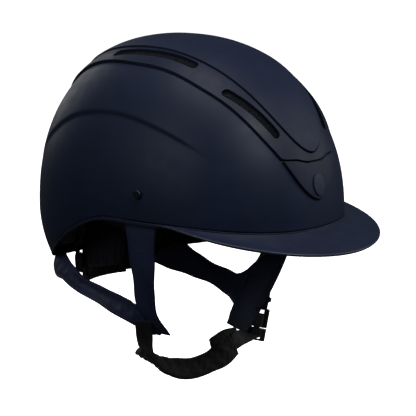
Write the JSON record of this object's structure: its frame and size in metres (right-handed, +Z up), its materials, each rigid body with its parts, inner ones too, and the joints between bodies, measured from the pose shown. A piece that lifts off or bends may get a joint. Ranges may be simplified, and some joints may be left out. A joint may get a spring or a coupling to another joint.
{
  "type": "equestrian riding helmet",
  "caption": "Riding helmet with a short peak, raised vent frame, foam liner, padded Y-strap chin harness with side-release buckle, and a nape cradle with size dial.",
  "frame": {"origin": "middle of the dome at the level of the rim's side line, on the mid-plane, where the wearer's head sits", "axes": "+Z up to the crown, -Y to the front with the peak, +X to the wearer's left; -Z is the way the head leaves"},
  "size_m": [0.2232, 0.324, 0.3104],
  "materials": {
    "shell_navy": "fine matte navy coating on a moulded shell",
    "frame_navy": "matte navy moulded vent frame",
    "panel_navy": "suede-like matte navy microfibre over a moulded panel",
    "rim_navy": "satin navy moulded rim and peak",
    "badge_trim": "plain raised oval with a satin dark metallic finish",
    "vent_wire": "woven wire grille, dark satin paint",
    "inlet_black": "black moulded inlet bar",
    "liner_foam": "expanded foam, dark grey, fine bead texture",
    "lining_cloth": "quick-drying knitted lining over foam",
    "strap_leather": "soft navy imitation leather with bound edges and stitching",
    "webbing_black": "ribbed black polyester webbing",
    "pad_cloth": "padded black fabric sleeve with stitching",
    "buckle_black": "black moulded nylon",
    "cradle_black": "black flexible moulded nylon",
    "dial_black": "black moulded dial with grip flutes",
    "fastener_dark": "dark coated steel"
  },
  "bodies": {
    "shell": {"outer_shell": "shell_navy", "peak": "rim_navy", "rear_rim_trim": "rim_navy", "vent_frame": "frame_navy", "centre_panel": "panel_navy", "front_badge_panel": "frame_navy", "badge_emblem": "badge_trim", "front_vent_mesh_left": "vent_wire", "front_vent_mesh_right": "vent_wire", "rear_vent_mesh_left": "vent_wire", "rear_vent_mesh_right": "vent_wire", "air_inlet": "inlet_black", "impact_liner": "liner_foam", "comfort_headband": "lining_cloth", "crown_pad": "lining_cloth", "side_anchor_screws": "fastener_dark", "anchor_nuts": "fastener_dark", "rear_strap_anchors": "cradle_black", "right_y_strap": "strap_leather", "left_y_strap": "strap_leather", "left_webbing": "webbing_black", "strap_keeper": "buckle_black", "buckle_female": "buckle_black", "cradle_pivot_pins": "fastener_dark"},
    "cradle": {"nape_cradle": "cradle_black", "cradle_pad": "lining_cloth", "dial_housing": "cradle_black", "housing_screws": "fastener_dark"},
    "right_rack": {"right_rack": "cradle_black"},
    "left_rack": {"left_rack": "cradle_black"},
    "dial": {"drive_pinion": "dial_black", "dial_knob": "dial_black", "dial_screw": "fastener_dark"},
    "chin_strap": {"right_webbing": "webbing_black", "chin_webbing": "webbing_black", "chin_pad": "pad_cloth", "buckle_pad": "pad_cloth", "buckle_male": "buckle_black"},
    "front_prong": {"front_prong": "buckle_black"},
    "rear_prong": {"rear_prong": "buckle_black"}
  },
  "joints": [
    {"name": "cradle_tilt", "type": "hinge", "parent": "shell", "child": "cradle", "pos_m": [0, 0.033, 0.002], "axis": [1, 0, 0], "range_deg": [-6, 2.5]},
    {"name": "dial_turn", "type": "hinge", "parent": "cradle", "child": "dial", "pos_m": [0, 0.105, -0.065], "axis": [0, 1, 0], "range_deg": [-90, 120]},
    {"name": "right_rack_slide", "type": "hinge", "parent": "cradle", "child": "right_rack", "pos_m": [0, 0.03, -0.065], "axis": [0, 0, 1], "range_deg": [-10.5, 8]},
    {"name": "left_rack_slide", "type": "hinge", "parent": "cradle", "child": "left_rack", "pos_m": [0, 0.03, -0.065], "axis": [0, 0, 1], "range_deg": [-8, 10.5]},
    {"name": "chin_strap_swing", "type": "hinge", "parent": "shell", "child": "chin_strap", "pos_m": [-0.0713, -0.0179, -0.096], "axis": [0, 1, 0], "range_deg": [0, 75]},
    {"name": "front_prong_squeeze", "type": "hinge", "parent": "chin_strap", "child": "front_prong", "pos_m": [0.06982, -0.0378, -0.12079], "axis": [-0.957, 0, 0.29], "range_deg": [0, 9], "stiffness_Nm_per_rad": 0.01},
    {"name": "rear_prong_squeeze", "type": "hinge", "parent": "chin_strap", "child": "rear_prong", "pos_m": [0.06982, -0.0242, -0.12079], "axis": [0.957, 0, -0.29], "range_deg": [0, 9], "stiffness_Nm_per_rad": 0.01}
  ],
  "couplings": [
    {"joint": "right_rack_slide", "follows": "dial_turn", "ratio": -0.08499},
    {"joint": "left_rack_slide", "follows": "dial_turn", "ratio": 0.08499},
    {"joint": "rear_prong_squeeze", "follows": "front_prong_squeeze", "ratio": 1}
  ]
}
